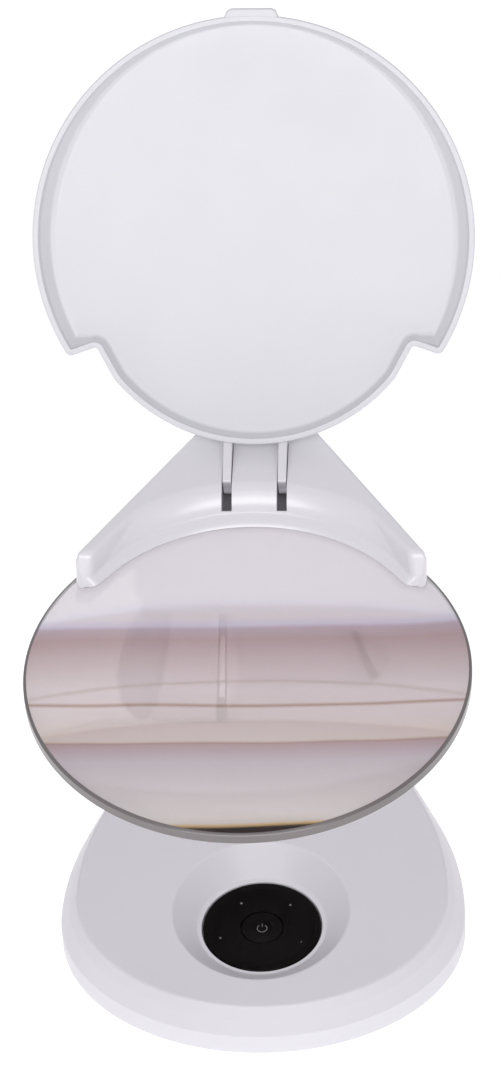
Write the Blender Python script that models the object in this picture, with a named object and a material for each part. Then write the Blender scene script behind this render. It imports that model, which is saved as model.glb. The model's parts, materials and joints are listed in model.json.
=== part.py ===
"""Table-top low vision magnifier: weighted base, upright arm, lens head with a hinged cover.

Every number below is in millimetres unless its name says degrees; MM turns them into metres.
Positions are measured from the optical axis of the lens: +X to the right, +Y to the rear,
+Z up from the table. The assembly empty then moves everything so that the centre of the
outer box stands on the origin.
"""

import math

import bmesh
import bpy
from mathutils import Matrix, Vector

MM = 0.001

# Driving dimensions
LENS_RADIUS = 64.5
LENS_EDGE = 3.5
LENS_SAG = 8.2
LENS_Z = 118.0
HINGE_Y = 92.0
BASE_HINGE_Z = 20.0
HEAD_HINGE_Z = 116.0
BOX_CENTRE_Y = 48.032

# Base
BASE_HALF_WIDTH = 60.6
BASE_FRONT_DEPTH = 47.8
BASE_WIDEST_Y = 5.8
BASE_SIDE_RADIUS = 90.0
BASE_TAPER_DEG = 25.6
BASE_TAIL_Y = 82.0
BASE_WALL_Z = 8.8
BASE_FOOT_Z = 1.6
BASE_CHAMFER = 5.2
PLATEAU_Z = 18.1
PLATEAU_SLOPE = 0.045
DISH_RADIUS = 26.6
DISC_RADIUS = 17.7
DISC_TOP_Z = 11.0
DISC_BOTTOM_Z = 8.9
BUTTON_RADIUS = 6.2
SHELL_WALL = 2.0
SLOT_HALF_WIDTH = 13.5
SLOT_START_Y = 80.0
SLOT_END_Y = 103.0
BOSSES = ((-40.0, -8.0), (40.0, -8.0), (-30.0, 66.0), (30.0, 66.0))
FEET = ((-30.0, -20.0), (30.0, -20.0), (-19.0, 80.0), (19.0, 80.0))
SOCKET_ANGLE_DEG = 58.0

# Hinges of the arm
KNUCKLE_HALF_WIDTH = 9.6
BASE_KNUCKLE_RADIUS = 9.0
HEAD_KNUCKLE_RADIUS = 8.0
PIN_RADIUS = 2.5
PIN_GAP = 0.3
CHEEK_INNER_X = 11.0
CHEEK_OUTER_X = 13.2

# Arm
ARM_HALF_DEPTH = 6.5
ARM_NECK_HALF_WIDTH = 9.6
ARM_HALF_WIDTH = 26.0

# Head: (height above the lens plane, radius and centre of the concave front,
# angle where the front straightens, inner corner and front of the tip)
HEAD_SLICES = (
    (12.0, 57.6, 9.5, 55.0, 46.0, 38.3),
    (6.0, 53.9, 7.2, 37.0, 46.8, 33.7),
    (3.0, 51.2, 5.6, 36.0, 43.6, 31.7),
)
HEAD_HALF_WIDTH = 51.0
HEAD_SIDE_START_Y = 38.3
HEAD_TAPER_DEG = 32.7
HEAD_TAIL_Y = 87.0
HEAD_BOTTOM = -10.0
HEAD_SPLIT = 0.15
HEAD_SLOT_HALF_WIDTH = 10.9
GASKET_RADIUS = 66.3
LED_ARC_Y = 5.5
LED_INNER_RADIUS = 53.5
LED_OUTER_RADIUS = 60.5
LED_HALF_ANGLE_DEG = 38.0
LED_COUNT = 6
HEAD_SCREWS = ((-24.0, 70.0), (24.0, 70.0), (-15.2, 80.0), (15.2, 80.0))

# Lens cover, drawn closed over the lens and then turned open about its hinge
LID_RADIUS = 65.0
LID_REAR_RADIUS = 53.8
LID_REAR_Y = 7.2
LID_NOTCH_OUTER = (54.83, 34.9)
LID_NOTCH_INNER = (45.6, 31.6)
LID_NOTCH_END_Y = 38.7
LID_RIM = 6.6
LID_OPEN_DEG = 128.0
LID_HINGE_Y = 72.5
LID_HINGE_RISE = 7.0
EAR_X = 8.1
EAR_HALF_WIDTH = 1.15
EAR_SLOT_HALF_WIDTH = 1.6
LID_PIN_RADIUS = 1.5

WHITE = (0.80, 0.79, 0.82)
BLACK = (0.012, 0.011, 0.011)
STEEL = (0.55, 0.56, 0.58)
RUBBER = (0.05, 0.05, 0.05)


# Outlines


def arc(centre, radius, start_deg, end_deg, steps, ends=(True, True)):
    """Points on an arc, angles counted from +X towards +Y."""
    points = []
    for i in range(0 if ends[0] else 1, steps + 1 if ends[1] else steps):
        angle = math.radians(start_deg + (end_deg - start_deg) * i / steps)
        points.append(
            (centre[0] + radius * math.cos(angle), centre[1] + radius * math.sin(angle))
        )
    return points


def mirrored(points):
    """The right half of an outline, front to rear, with its mirror image closing the loop."""
    left = [(-x, y) for x, y in reversed(points) if x > 1e-6]
    return list(points) + left


def inset(points, distance):
    """The outline moved inwards by a distance, with mitred corners."""
    moved = []
    count = len(points)
    for i, here in enumerate(points):
        before = Vector(here) - Vector(points[i - 1])
        after = Vector(points[(i + 1) % count]) - Vector(here)
        n_before = Vector((-before.y, before.x)).normalized()
        n_after = Vector((-after.y, after.x)).normalized()
        mitre = n_before + n_after
        moved.append(tuple(Vector(here) + mitre * (2 * distance / mitre.length_squared)))
    return moved


def base_outline(distance=0.0):
    """Plan of the base: elliptical front, sides that narrow to a round tail."""
    taper = math.radians(BASE_TAPER_DEG)
    half = []
    for i in range(16):
        angle = math.radians(-90 + 90 * i / 15)
        half.append(
            (
                BASE_HALF_WIDTH * math.cos(angle),
                BASE_WIDEST_Y + BASE_FRONT_DEPTH * math.sin(angle),
            )
        )
    side_centre = (BASE_HALF_WIDTH - BASE_SIDE_RADIUS, BASE_WIDEST_Y)
    half += arc(side_centre, BASE_SIDE_RADIUS, 0, BASE_TAPER_DEG, 4, (False, True))
    x, y = half[-1]
    tail_radius = (x - math.tan(taper) * (BASE_TAIL_Y - y)) * math.cos(taper)
    tail = arc((0, BASE_TAIL_Y), tail_radius, BASE_TAPER_DEG, 90, 7)
    straight = Vector(tail[0]) - Vector((x, y))
    half += [tuple(Vector((x, y)) + straight * i / 6) for i in range(1, 6)] + tail
    half[0] = (0.0, half[0][1])
    half[-1] = (0.0, half[-1][1])
    return inset(mirrored(half), distance)


def plateau_z(y):
    """Height of the top face of the base, which rises to the rear."""
    return PLATEAU_Z + PLATEAU_SLOPE * y


def head_outline(radius, centre_y, straight_deg, tip_x, tip_y, distance=0.0):
    """Plan of the head at one height: concave front arc, blunt tips, round tail."""
    taper = math.radians(HEAD_TAPER_DEG)
    half = arc((0, centre_y), radius, 90, straight_deg, 12)
    half[0] = (0.0, half[0][1])
    half.append((tip_x, tip_y))
    half.append(((tip_x + HEAD_HALF_WIDTH) / 2, tip_y - 0.4))
    half.append((HEAD_HALF_WIDTH, tip_y + 0.6))
    half.append((HEAD_HALF_WIDTH, max(tip_y + 1.5, HEAD_SIDE_START_Y - 1.5)))
    tail_radius = (
        HEAD_HALF_WIDTH - math.tan(taper) * (HEAD_TAIL_Y - HEAD_SIDE_START_Y)
    ) * math.cos(taper)
    half += arc((0, HEAD_TAIL_Y), tail_radius, HEAD_TAPER_DEG, 90, 7)
    half[-1] = (0.0, half[-1][1])
    return inset(mirrored(half), distance)


def lid_outline(distance=0.0):
    """Plan of the closed cover: a disc whose rear is notched round the tips of the head."""
    notch = math.degrees(math.atan2(LID_NOTCH_OUTER[1], LID_NOTCH_OUTER[0]))
    half = arc((0, 0), LID_RADIUS, -90, notch, 26)
    half[0] = (0.0, half[0][1])
    half.append(LID_NOTCH_INNER)
    start = math.degrees(math.asin((LID_NOTCH_END_Y - LID_REAR_Y) / LID_REAR_RADIUS))
    half += arc((0, LID_REAR_Y), LID_REAR_RADIUS, start, 90, 12)
    half[-1] = (0.0, half[-1][1])
    return inset(mirrored(half), distance)


# Mesh builders


def at_height(points, height):
    """Plan points lifted to a height, which may be a function of y."""
    if callable(height):
        return [(x, y, height(y)) for x, y in points]
    return [(x, y, height) for x, y in points]


def loft(rings, ring_closed=False):
    """Skin over rings with equal counts; the ends are capped unless the last joins the first."""
    mesh = bmesh.new()
    loops = [[mesh.verts.new(Vector(p) * MM) for p in ring] for ring in rings]
    pairs = list(zip(loops, loops[1:]))
    if ring_closed:
        pairs.append((loops[-1], loops[0]))
    else:
        mesh.faces.new(loops[0])
        mesh.faces.new(loops[-1])
    for low, high in pairs:
        count = len(low)
        for i in range(count):
            j = (i + 1) % count
            mesh.faces.new((low[i], low[j], high[j], high[i]))
    bmesh.ops.recalc_face_normals(mesh, faces=mesh.faces)
    return mesh


def prism(points, low, high):
    """An outline extruded between two heights."""
    return loft([at_height(points, low), at_height(points, high)])


def side_prism(points, x_low, x_high):
    """A (y, z) side view extruded along X."""
    return loft([[(x, y, z) for y, z in points] for x in (x_low, x_high)])


def box(low, high):
    """A plain block between two corners."""
    plan = [(low[0], low[1]), (high[0], low[1]), (high[0], high[1]), (low[0], high[1])]
    return prism(plan, low[2], high[2])


def turned(profile, centre, steps, axis="Z"):
    """A (radius, height) profile turned about an axis; radius 0 closes on a point."""
    mesh = bmesh.new()
    spin = {"Z": Matrix.Identity(3), "X": Matrix.Rotation(math.radians(90), 3, "Y")}[axis]
    rings = []
    for radius, height in profile:
        angles = [2 * math.pi * i / steps for i in range(steps if radius > 0 else 1)]
        ring = [Vector((radius * math.cos(a), radius * math.sin(a), height)) for a in angles]
        rings.append([mesh.verts.new((Vector(centre) + spin @ p) * MM) for p in ring])
    for low, high in zip(rings, rings[1:]):
        for i in range(steps):
            j = (i + 1) % steps
            corners = [low[i % len(low)], low[j % len(low)], high[j % len(high)], high[i % len(high)]]
            mesh.faces.new(list(dict.fromkeys(corners)))
    bmesh.ops.recalc_face_normals(mesh, faces=mesh.faces)
    return mesh


def rod(centre, radius, low, high, steps, axis="Z"):
    """A round bar between two stations on its axis."""
    profile = [(0, low), (radius, low), (radius, high), (0, high)]
    return turned(profile, centre, steps, axis)


def washer(centre, inner, outer, low, high, steps, axis="Z"):
    """A flat ring."""
    mesh = bmesh.new()
    spin = {"Z": Matrix.Identity(3), "X": Matrix.Rotation(math.radians(90), 3, "Y")}[axis]
    rings = []
    for radius, height in ((outer, low), (outer, high), (inner, high), (inner, low)):
        ring = []
        for i in range(steps):
            angle = 2 * math.pi * i / steps
            point = Vector((radius * math.cos(angle), radius * math.sin(angle), height))
            ring.append(mesh.verts.new((Vector(centre) + spin @ point) * MM))
        rings.append(ring)
    for k in range(4):
        low_ring, high_ring = rings[k], rings[(k + 1) % 4]
        for i in range(steps):
            j = (i + 1) % steps
            mesh.faces.new((low_ring[i], low_ring[j], high_ring[j], high_ring[i]))
    bmesh.ops.recalc_face_normals(mesh, faces=mesh.faces)
    return mesh


def turn_mesh(mesh, angle_deg, axis, centre):
    """Turns a mesh about an axis through a centre."""
    place = Matrix.Translation(Vector(centre) * MM)
    spin = Matrix.Rotation(math.radians(angle_deg), 4, axis)
    bmesh.ops.transform(mesh, matrix=place @ spin @ place.inverted(), verts=mesh.verts)
    return mesh


# Scene helpers


def clear_scene():
    for obj in list(bpy.data.objects):
        bpy.data.objects.remove(obj, do_unlink=True)


def material(name, colour, roughness, metallic=0.0):
    """A Principled material, made once for each name."""
    made = bpy.data.materials.get(name)
    if made:
        return made
    made = bpy.data.materials.new(name)
    made.use_nodes = True
    shader = made.node_tree.nodes["Principled BSDF"]
    shader.inputs["Base Color"].default_value = (*colour, 1.0)
    shader.inputs["Roughness"].default_value = roughness
    shader.inputs["Metallic"].default_value = metallic
    made.diffuse_color = (*colour, 1.0)
    return made


def empty(name, position, parent=None):
    """An axis marker; position is in design coordinates."""
    marker = bpy.data.objects.new(name, None)
    marker.empty_display_size = 0.01
    bpy.context.scene.collection.objects.link(marker)
    marker["design"] = [v * MM for v in position]
    here = Vector(marker["design"])
    marker.parent = parent
    marker.location = here - Vector(parent["design"]) if parent else here
    return marker


def add(name, mesh, body, finish, smooth_deg=35):
    """Turns a bmesh into a named object that rides on its body's empty."""
    data = bpy.data.meshes.new(name)
    mesh.to_mesh(data)
    mesh.free()
    data.materials.append(finish)
    data.shade_smooth()
    data.set_sharp_from_angle(angle=math.radians(smooth_deg))
    obj = bpy.data.objects.new(name, data)
    bpy.context.scene.collection.objects.link(obj)
    obj.parent = body
    obj.location = -Vector(body["design"])
    return obj


def combine(obj, mesh, operation, label):
    """Joins a helper solid to an object, or cuts it away, with a Boolean modifier."""
    helper = add(obj.name + "_" + label, mesh, obj.parent, obj.data.materials[0])
    helper.hide_render = True
    helper.display_type = "WIRE"
    modifier = obj.modifiers.new(label, "BOOLEAN")
    modifier.operation = operation
    modifier.solver = "EXACT"
    modifier.object = helper


def cut(obj, mesh, label):
    combine(obj, mesh, "DIFFERENCE", label)


def join(obj, mesh, label):
    combine(obj, mesh, "UNION", label)


# Base


def base_shell_rings():
    """Closed cross-section of the base housing, from its foot over the top and back inside."""
    outer = base_outline(0.7)
    steps = len(outer)
    angles = [math.atan2(y, x) for x, y in outer]
    under = SHELL_WALL

    def ring(radius, height):
        plan = [(radius * math.cos(a), radius * math.sin(a)) for a in angles]
        return at_height(plan, height)

    def below(depth):
        return lambda y: plateau_z(y) - depth

    rings = [
        at_height(outer, 1.2),
        at_height(base_outline(), 3.0),
        at_height(base_outline(), BASE_WALL_Z),
        at_height(base_outline(BASE_CHAMFER * 0.55), below(3.6)),
        at_height(base_outline(BASE_CHAMFER), below(0.0)),
        ring(DISH_RADIUS, below(0.0)),
        ring(DISH_RADIUS - 3.4, lambda y: plateau_z(y) * 0.62 + DISC_TOP_Z * 0.38),
        ring(DISC_RADIUS + 0.5, DISC_TOP_Z - 0.2),
        ring(DISC_RADIUS + 0.3, DISC_BOTTOM_Z - 0.3),
        ring(DISC_RADIUS - 2.7, DISC_BOTTOM_Z - 0.3),
        ring(DISC_RADIUS - 2.7, DISC_BOTTOM_Z - 1.8),
        ring(DISC_RADIUS + 2.1, DISC_BOTTOM_Z - 1.8),
        ring(DISH_RADIUS + 1.2, below(under)),
        at_height(base_outline(BASE_CHAMFER + under), below(under)),
        at_height(base_outline(under), BASE_WALL_Z - 0.6),
        at_height(base_outline(under + 0.2), 1.2),
    ]
    assert all(len(r) == steps for r in rings)
    return rings


def build_base_shell(body, finish):
    shell = add("base_top_shell", loft(base_shell_rings(), ring_closed=True), body, finish)
    for i, (x, y) in enumerate(BOSSES):
        join(shell, rod((x, y, 0), 3.4, 3.8, plateau_z(y) - 1.0, 12), f"boss_{i}")
    for i, (x, y) in enumerate(BOSSES):
        cut(shell, rod((x, y, 0), 1.8, 2.0, 12.0, 12), f"bore_{i}")
    slot_low = (-SLOT_HALF_WIDTH, SLOT_START_Y, 12.0)
    slot = box(slot_low, (SLOT_HALF_WIDTH, SLOT_END_Y, 40.0))
    cut(shell, slot, "arm_slot")
    axis = (0, HINGE_Y, BASE_HINGE_Z)
    cut(shell, rod(axis, PIN_RADIUS + PIN_GAP, -16.0, 16.0, 20, "X"), "pin_relief")
    cut(shell, socket_block(5.1, 2.4, -4.0, 12.0), "socket_hole")


def build_bottom_cover(body, finish):
    rings = [at_height(base_outline(2.9), BASE_FOOT_Z), at_height(base_outline(2.6), 3.4)]
    cover = add("base_bottom_cover", loft(rings), body, finish)
    for i, (x, y) in enumerate(BOSSES):
        cut(cover, rod((x, y, 0), 1.8, 0.0, 6.0, 12), f"bore_{i}")


def build_feet_and_screws(body):
    rubber = material("foot_rubber", RUBBER, 0.9)
    steel = material("screw_steel", STEEL, 0.35, 1.0)
    top = BASE_FOOT_Z - 0.3
    for i, (x, y) in enumerate(FEET, 1):
        profile = [(0, 0), (5.0, 0), (5.6, 0.5), (5.6, top), (0, top)]
        add(f"rubber_foot_{i}", turned(profile, (x, y, 0), 20), body, rubber)
    for i, (x, y) in enumerate(BOSSES, 1):
        profile = [(0, 0.4), (2.4, 0.4), (2.8, 0.8), (2.8, top), (1.4, top), (1.4, 11.5), (0, 11.5)]
        add(f"base_screw_{i}", turned(profile, (x, y, 0), 12), body, steel)


def build_controls(body, button_body, board_finish):
    black = material("gloss_black", BLACK, 0.08)
    disc = [
        (BUTTON_RADIUS + 0.3, DISC_BOTTOM_Z),
        (DISC_RADIUS, DISC_BOTTOM_Z),
        (DISC_RADIUS, DISC_TOP_Z - 0.7),
        (DISC_RADIUS - 0.6, DISC_TOP_Z),
        (DISC_RADIUS - 1.8, DISC_TOP_Z),
        (BUTTON_RADIUS + 0.3, DISC_TOP_Z - 0.5),
    ]
    add("control_disc", turned(disc + disc[:1], (0, 0, 0), 48), body, black)
    cap = [
        (0, 8.7),
        (1.8, 8.7),
        (1.8, 9.4),
        (BUTTON_RADIUS, 9.4),
        (BUTTON_RADIUS, DISC_TOP_Z - 0.6),
        (0, DISC_TOP_Z - 1.0),
    ]
    add("power_button", turned(cap, (0, 0, 0), 32), button_body, black)
    board = [(0, 4.6), (14.4, 4.6), (14.4, 5.8), (0, 5.8)]
    add("control_board", turned(board, (0, 0, 0), 24), body, board_finish)
    switch = [(0, 6.1), (3.2, 6.1), (3.2, 7.2), (1.7, 7.4), (1.7, 7.9), (0, 7.9)]
    grey = material("switch_grey", (0.25, 0.25, 0.26), 0.5)
    add("tact_switch", turned(switch, (0, 0, 0), 12), body, grey)


def build_base_inside(body, board_finish):
    cast = material("ballast_iron", (0.18, 0.18, 0.19), 0.6, 1.0)
    ballast = washer((0, 0, 0), 16.0, 33.0, 3.7, 6.7, 32)
    add("ballast_plate", ballast, body, cast)
    wrap = material("battery_wrap", (0.10, 0.22, 0.45), 0.4)
    pack = [(-21, 38), (21, 38), (22, 39), (22, 59), (21, 60), (-21, 60), (-22, 59), (-22, 39)]
    add("battery_pack", prism(pack, 4.0, 12.0), body, wrap)
    add("charge_board", box((-20, 63, 6.0), (20, 76, 7.6)), body, board_finish)
    steel = material("socket_steel", STEEL, 0.3, 1.0)
    socket = add("charge_socket", socket_block(4.8, 2.1, -2.4, 4.6), body, steel)
    cut(socket, socket_block(4.2, 1.5, -0.8, 9.0), "mouth")


def socket_block(half_width, half_height, inner, outer):
    """A block that points out through the round tail of the base."""
    angle = math.radians(SOCKET_ANGLE_DEG)
    reach = 26.0
    centre = (reach * math.sin(angle), BASE_TAIL_Y + reach * math.cos(angle), 7.0)
    low = (centre[0] - half_width, centre[1] + inner, centre[2] - half_height)
    high = (centre[0] + half_width, centre[1] + outer, centre[2] + half_height)
    return turn_mesh(box(low, high), -SOCKET_ANGLE_DEG, "Z", centre)


def rounded_top(radius, foot_z, axis_y, axis_z, steps=10):
    """Side view of a plate with a round top about an axis, down to a foot."""
    plate = arc((axis_y, axis_z), radius, 0, 180, steps)
    return plate + [(axis_y - radius, foot_z), (axis_y + radius, foot_z)]


def build_base_hinge(body, white):
    steel = material("hinge_steel", STEEL, 0.35, 1.0)
    axis = (0, HINGE_Y, BASE_HINGE_Z)
    cheek = rounded_top(8.0, 4.2, HINGE_Y, BASE_HINGE_Z)
    bracket = add(
        "base_hinge_bracket", side_prism(cheek, CHEEK_INNER_X, CHEEK_OUTER_X), body, steel
    )
    join(bracket, side_prism(cheek, -CHEEK_OUTER_X, -CHEEK_INNER_X), "left_cheek")
    floor_low = (-CHEEK_OUTER_X + 0.1, HINGE_Y - 7.9, 4.3)
    floor_high = (CHEEK_OUTER_X - 0.1, HINGE_Y + 7.9, 6.3)
    join(bracket, box(floor_low, floor_high), "floor")
    cut(bracket, rod(axis, PIN_RADIUS + PIN_GAP, -20, 20, 20, "X"), "bore")
    add("arm_hinge_pin", rod(axis, PIN_RADIUS, -15.6, 15.6, 20, "X"), body, steel)
    for side, label in ((-1, "left"), (1, "right")):
        ring = washer(axis, PIN_RADIUS + PIN_GAP, 7.0, side * 9.9, side * 10.7, 20, "X")
        add(f"base_friction_washer_{label}", ring, body, steel)
        cover_side = rounded_top(10.0, plateau_z(HINGE_Y) - 0.2, HINGE_Y, BASE_HINGE_Z, 14)
        cap = side_prism(cover_side, side * SLOT_HALF_WIDTH, side * 18.5)
        cap = add(f"hinge_cap_{label}", cap, body, white)
        trim_low = (-30.0, HINGE_Y - 20.0, 0.0)
        trim_high = (30.0, HINGE_Y + 20.0, 0.0)
        wedge = box(trim_low, trim_high[:2] + (1.0,))
        for v in wedge.verts:
            if v.co.z > 0.5 * MM:
                v.co.z = (plateau_z(v.co.y / MM) + 0.3) * MM
        cut(cap, wedge, "seat")
        cut(cap, rod(axis, PIN_RADIUS + PIN_GAP, -16.0, 16.0, 20, "X"), "pin_socket")


# Arm


def arm_ring(z, half_width, low_y, high_y, corner=2.0):
    """One horizontal slice of the arm, with chamfered corners on its outer side."""
    if low_y < HINGE_Y - 1:
        plan = [
            (half_width, high_y),
            (-half_width, high_y),
            (-half_width, low_y + corner),
            (-half_width + corner, low_y),
            (half_width - corner, low_y),
            (half_width, low_y + corner),
        ]
    else:
        plan = [
            (-half_width, low_y),
            (half_width, low_y),
            (half_width, high_y - corner),
            (half_width - corner, high_y),
            (-half_width + corner, high_y),
            (-half_width, high_y - corner),
        ]
    return at_height(plan, z)


def arm_half(low_y, high_y, bottom, top):
    """Half of the arm: narrow necks at both knuckles and a wider middle."""
    stations = (
        (bottom, ARM_NECK_HALF_WIDTH),
        (BASE_HINGE_Z + 11.4, ARM_NECK_HALF_WIDTH),
        (BASE_HINGE_Z + 12.4, ARM_HALF_WIDTH - 2.0),
        (BASE_HINGE_Z + 15.0, ARM_HALF_WIDTH),
        (BASE_HINGE_Z + 42.0, ARM_HALF_WIDTH - 2.0),
        (HEAD_HINGE_Z - 22.0, ARM_NECK_HALF_WIDTH + 3.0),
        (HEAD_HINGE_Z - 16.0, ARM_NECK_HALF_WIDTH),
        (top, ARM_NECK_HALF_WIDTH),
    )
    return loft([arm_ring(z, half_width, low_y, high_y) for z, half_width in stations])


def build_arm(body, white, steel):
    base_axis = (0, HINGE_Y, BASE_HINGE_Z)
    head_axis = (0, HINGE_Y, HEAD_HINGE_Z)
    front_y = HINGE_Y - ARM_HALF_DEPTH
    rear_y = HINGE_Y + ARM_HALF_DEPTH
    cavity_low = BASE_HINGE_Z + 14.0
    cavity_high = HEAD_HINGE_Z - 13.0
    front = arm_half(front_y, HINGE_Y, BASE_HINGE_Z, HEAD_HINGE_Z)
    shell = add("arm_front_shell", front, body, white)
    width = KNUCKLE_HALF_WIDTH + 0.02
    join(shell, rod(base_axis, BASE_KNUCKLE_RADIUS, -width, width, 28, "X"), "base_knuckle")
    join(shell, rod(head_axis, HEAD_KNUCKLE_RADIUS, -width, width, 28, "X"), "head_knuckle")
    cut(shell, box((-7.6, front_y + 2.0, cavity_low), (7.6, rear_y + 9, cavity_high)), "cavity")
    cut(shell, rod(base_axis, PIN_RADIUS + PIN_GAP, -20, 20, 20, "X"), "base_bore")
    cut(shell, rod(head_axis, PIN_RADIUS + PIN_GAP, -20, 20, 20, "X"), "head_bore")
    for i, z in enumerate((cavity_low - 2.6, cavity_high + 2.6)):
        hole = turn_mesh(rod((0, HINGE_Y, z), 1.4, -3.0, 20.0, 12), -90, "X", (0, HINGE_Y, z))
        cut(shell, hole, f"screw_bore_{i}")
    cover_low = BASE_HINGE_Z + 9.7
    cover_high = HEAD_HINGE_Z - 8.7
    rear = arm_half(HINGE_Y + 0.3, rear_y, cover_low, cover_high)
    cover = add("arm_rear_cover", rear, body, white)
    cut(cover, box((-7.6, HINGE_Y - 1, cavity_low), (7.6, rear_y - 2.0, cavity_high)), "cavity")
    for i, z in enumerate((cavity_low - 2.6, cavity_high + 2.6), 1):
        hole = turn_mesh(rod((0, HINGE_Y, z), 2.7, 3.4, 20.0, 16), -90, "X", (0, HINGE_Y, z))
        cut(cover, hole, f"screw_head_{i}")
        hole = turn_mesh(rod((0, HINGE_Y, z), 1.4, -3.0, 20.0, 12), -90, "X", (0, HINGE_Y, z))
        cut(cover, hole, f"screw_bore_{i}")
        profile = [(0, -2.6), (1.1, -2.6), (1.1, 3.7), (2.3, 3.7), (2.3, 5.4), (0, 5.4)]
        screw = turn_mesh(turned(profile, (0, HINGE_Y, z), 12), -90, "X", (0, HINGE_Y, z))
        add(f"arm_screw_{i}", screw, body, steel)
    strip_low = (-4.5, HINGE_Y - 3.6, cavity_low + 1.0)
    strip_high = (2.5, HINGE_Y - 1.6, cavity_high - 1.0)
    add("arm_stiffener", box(strip_low, strip_high), body, steel)
    vinyl = material("lead_vinyl", (0.04, 0.04, 0.045), 0.5)
    lead = rod((5.2, HINGE_Y + 0.5, 0), 1.4, cavity_low + 0.5, cavity_high - 0.5, 10)
    add("arm_lead", lead, body, vinyl)


# Head


def lens_profile(clearance=0.0, steps=6):
    """Half section of the biconvex lens from its lower pole to its upper pole."""
    sphere = (LENS_RADIUS**2 + LENS_SAG**2) / (2 * LENS_SAG)
    edge = LENS_EDGE / 2
    upper = []
    for i in range(steps + 1):
        radius = LENS_RADIUS * i / steps
        height = edge + LENS_SAG - sphere + math.sqrt(sphere**2 - radius**2)
        upper.append((radius, height + clearance))
    upper[-1] = (LENS_RADIUS + clearance, upper[-1][1])
    lower = [(radius, -height) for radius, height in upper]
    return lower + upper[::-1]


def build_lens(body):
    glass = material("lens_acrylic", (0.93, 0.95, 0.97), 0.02)
    centre = (0, 0, LENS_Z)
    add("lens", turned(lens_profile(), centre, 72), body, glass, smooth_deg=30)
    rubber = material("gasket_rubber", RUBBER, 0.8)
    half_angle = 50
    outer = arc((0, 0), GASKET_RADIUS, 90 - half_angle, 90 + half_angle, 28)
    inner = arc((0, 0), LENS_RADIUS + 0.3, 90 + half_angle, 90 - half_angle, 28)
    strip = prism(outer + inner, LENS_Z - 1.6, LENS_Z + 1.6)
    add("lens_gasket", strip, body, rubber)


def lens_clearance():
    return turned(lens_profile(0.35), (0, 0, LENS_Z), 72)


def gasket_clearance():
    return rod((0, 0, LENS_Z), GASKET_RADIUS + 0.3, -1.9, 1.9, 72)


def ear_slot(side):
    """The pocket that one hinge ear of the cover swings in."""
    low = side * EAR_X - EAR_SLOT_HALF_WIDTH
    high = side * EAR_X + EAR_SLOT_HALF_WIDTH
    view = [
        (55.0, 8.6),
        (58.5, 8.6),
        (62.0, 5.9),
        (67.0, 1.0),
        (70.0, -1.2),
        (75.0, -1.2),
        (79.2, 2.2),
        (82.0, 6.0),
        (84.3, 8.6),
        (84.3, 20.0),
        (55.0, 20.0),
    ]
    return side_prism([(y, z + LENS_Z) for y, z in view], low, high)


def knuckle_slot():
    """Room for the upper knuckle of the arm, open below and behind."""
    low = (-HEAD_SLOT_HALF_WIDTH, HINGE_Y - 11.0, LENS_Z - 30.0)
    high = (HEAD_SLOT_HALF_WIDTH, HINGE_Y + 30.0, LENS_Z + 6.6)
    return box(low, high)


def build_head_top(body, white):
    rings = [at_height(head_outline(*HEAD_SLICES[2][1:]), LENS_Z + HEAD_SPLIT)]
    for rise, *plan in reversed(HEAD_SLICES):
        rings.append(at_height(head_outline(*plan), LENS_Z + rise))
    top = add("head_top_shell", loft(rings), body, white)
    cut(top, lens_clearance(), "lens_seat")
    cut(top, gasket_clearance(), "gasket_seat")
    cut(top, ear_slot(-1), "left_ear_slot")
    cut(top, ear_slot(1), "right_ear_slot")
    cut(top, knuckle_slot(), "knuckle_slot")
    pin_axis = (0, HINGE_Y, HEAD_HINGE_Z)
    cut(top, rod(pin_axis, PIN_RADIUS + PIN_GAP, -20, 20, 20, "X"), "pin_bore")
    lid_axis = (0, LID_HINGE_Y, LENS_Z + LID_HINGE_RISE)
    cut(top, rod(lid_axis, LID_PIN_RADIUS + PIN_GAP, -13.4, 13.4, 16, "X"), "lid_pin_bore")
    for i, (x, y) in enumerate(HEAD_SCREWS):
        cut(top, rod((x, y, LENS_Z), 1.6, -2.0, 6.0, 10), f"screw_bore_{i}")


def led_band(inner, outer, half_angle_deg, low, high):
    """A curved strip under the head, centred on the arc of its front."""
    start, end = 90 - half_angle_deg, 90 + half_angle_deg
    plan = arc((0, LED_ARC_Y), outer, start, end, 16) + arc((0, LED_ARC_Y), inner, end, start, 16)
    return prism(plan, LENS_Z + low, LENS_Z + high)


def build_head_bottom(body, white):
    _, *plan = HEAD_SLICES[2]
    rings = [
        at_height(head_outline(*plan, 1.2), LENS_Z + HEAD_BOTTOM),
        at_height(head_outline(*plan), LENS_Z + HEAD_BOTTOM + 1.6),
        at_height(head_outline(*plan), LENS_Z - HEAD_SPLIT),
    ]
    bottom = add("head_bottom_shell", loft(rings), body, white)
    cut(bottom, lens_clearance(), "lens_seat")
    cut(bottom, gasket_clearance(), "gasket_seat")
    recess = led_band(LED_INNER_RADIUS, LED_OUTER_RADIUS, LED_HALF_ANGLE_DEG, -15.0, -5.9)
    cut(bottom, recess, "led_recess")
    cut(bottom, box((-2.0, 60.0, LENS_Z - 8.0), (2.0, 84.0, LENS_Z - 6.0)), "lead_channel")
    cut(bottom, ear_slot(-1), "left_ear_slot")
    cut(bottom, ear_slot(1), "right_ear_slot")
    cut(bottom, knuckle_slot(), "knuckle_slot")
    axis = (0, HINGE_Y, HEAD_HINGE_Z)
    cut(bottom, rod(axis, PIN_RADIUS + PIN_GAP, -20, 20, 20, "X"), "pin_bore")
    for i, (x, y) in enumerate(HEAD_SCREWS):
        cut(bottom, rod((x, y, LENS_Z), 1.6, -9.0, 2.0, 10), f"screw_bore_{i}")
        cut(bottom, rod((x, y, LENS_Z), 2.8, -14.0, -7.6, 12), f"screw_head_{i}")


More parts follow.
